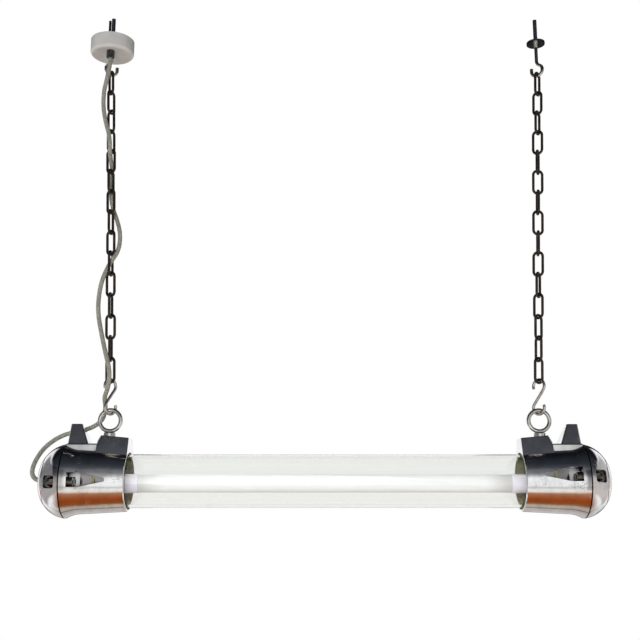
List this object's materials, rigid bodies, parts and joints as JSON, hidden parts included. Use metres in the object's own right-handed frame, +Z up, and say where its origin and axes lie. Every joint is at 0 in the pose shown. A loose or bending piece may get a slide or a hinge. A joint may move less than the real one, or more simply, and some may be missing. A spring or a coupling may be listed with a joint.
{
  "type": "hanging shop light",
  "caption": "Tube lamp in a clear glass tube between two cast metal end caps, hung on two chains with S-hooks and ring eyebolts, with a braided cord woven up one chain.",
  "frame": {"origin": "on the ceiling plane, midway between the studs of the two ceiling hooks", "axes": "+Z up, +X along the lamp away from the end where the cord enters, -Y towards the viewer"},
  "size_m": [0.8225, 0.104, 0.7655],
  "materials": {
    "cast_aluminium": "polished, with fine scratches and pits",
    "bright_zinc": "bright zinc plate",
    "black_chain": "semi-gloss black lacquer",
    "dull_steel": "dark, slightly dull",
    "clear_glass": "clear, faintly green",
    "lamp_glass": "frosted white",
    "lamp_ends": "white",
    "pin_metal": "nickelled brass",
    "seal_rubber": "olive-brown",
    "white_plastic": "matte white",
    "bracket_sheet": "zinc-plated sheet",
    "rose_shell": "satin black",
    "grip_plastic": "black",
    "braided_cord": "grey-green braid"
  },
  "bodies": {
    "ceiling": {"ceiling_hook_left": "bright_zinc", "ceiling_hook_right": "bright_zinc", "rose_base": "bracket_sheet", "rose_screws": "dull_steel", "rose_cup": "rose_shell", "cord_grip": "grip_plastic"},
    "top_links": {"top_link_left": "black_chain", "top_link_right": "black_chain", "cord_top": "braided_cord"},
    "chain_left": {"chain_left": "black_chain", "s_hook_left": "bright_zinc", "cord_chain": "braided_cord"},
    "chain_right": {"chain_right": "black_chain", "s_hook_right": "bright_zinc"},
    "lamp": {"glass_tube": "clear_glass", "cord_loop": "braided_cord", "terminal_block": "white_plastic", "terminal_screws": "pin_metal", "cable_gland": "pin_metal", "gland_seal": "seal_rubber", "gland_nut": "pin_metal", "cover_left": "cast_aluminium", "cover_nuts_left": "dull_steel", "cover_gasket_left": "seal_rubber", "eyebolt_left": "bright_zinc", "housing_left": "cast_aluminium", "cover_bolts_left": "dull_steel", "glass_seal_left": "seal_rubber", "glass_cushion_left": "seal_rubber", "lampholder_left": "white_plastic", "holder_bracket_left": "bracket_sheet", "bracket_screws_left": "dull_steel", "eyebolt_right": "bright_zinc", "housing_right": "cast_aluminium", "cover_bolts_right": "dull_steel", "glass_seal_right": "seal_rubber", "glass_cushion_right": "seal_rubber", "lampholder_right": "white_plastic", "holder_bracket_right": "bracket_sheet", "bracket_screws_right": "dull_steel"},
    "tube": {"lamp_tube": "lamp_glass", "lamp_cap_left": "lamp_ends", "lamp_cap_right": "lamp_ends", "lamp_pins_left": "pin_metal", "lamp_pins_right": "pin_metal", "lampholder_rotor_left": "white_plastic", "lampholder_rotor_right": "white_plastic"},
    "cover_right": {"cover_right": "cast_aluminium", "cover_nuts_right": "dull_steel", "cover_gasket_right": "seal_rubber", "blanking_plug": "pin_metal", "plug_nut": "pin_metal"}
  },
  "joints": [
    {"name": "swing", "type": "hinge", "parent": "ceiling", "child": "top_links", "pos_m": [0, 0, -0.056], "axis": [1, 0, 0], "range_deg": [-20, 20], "deforming": ["cord_top"]},
    {"name": "sway", "type": "hinge", "parent": "top_links", "child": "chain_left", "pos_m": [-0.3287, 0, -0.08747], "axis": [0, 1, 0], "range_deg": [-8, 8], "deforming": ["cord_chain"]},
    {"name": "sway_right", "type": "hinge", "parent": "top_links", "child": "chain_right", "pos_m": [0.3287, 0, -0.08747], "axis": [0, 1, 0], "range_deg": [-8, 8]},
    {"name": "lamp_level", "type": "hinge", "parent": "chain_left", "child": "lamp", "pos_m": [-0.308, 0, -0.59005], "axis": [0, 1, 0], "range_deg": [-9, 9], "deforming": ["cord_loop"]},
    {"name": "tube_twist", "type": "hinge", "parent": "lamp", "child": "tube", "pos_m": [0, 0, -0.67905], "axis": [1, 0, 0], "range_deg": [0, 90]},
    {"name": "cover_off", "type": "slide", "parent": "lamp", "child": "cover_right", "axis": [1, 0, 0], "range_m": [0, 0.08]}
  ],
  "couplings": [
    {"joint": "sway_right", "follows": "sway", "ratio": 1},
    {"joint": "lamp_level", "follows": "sway", "ratio": -1.0672}
  ]
}
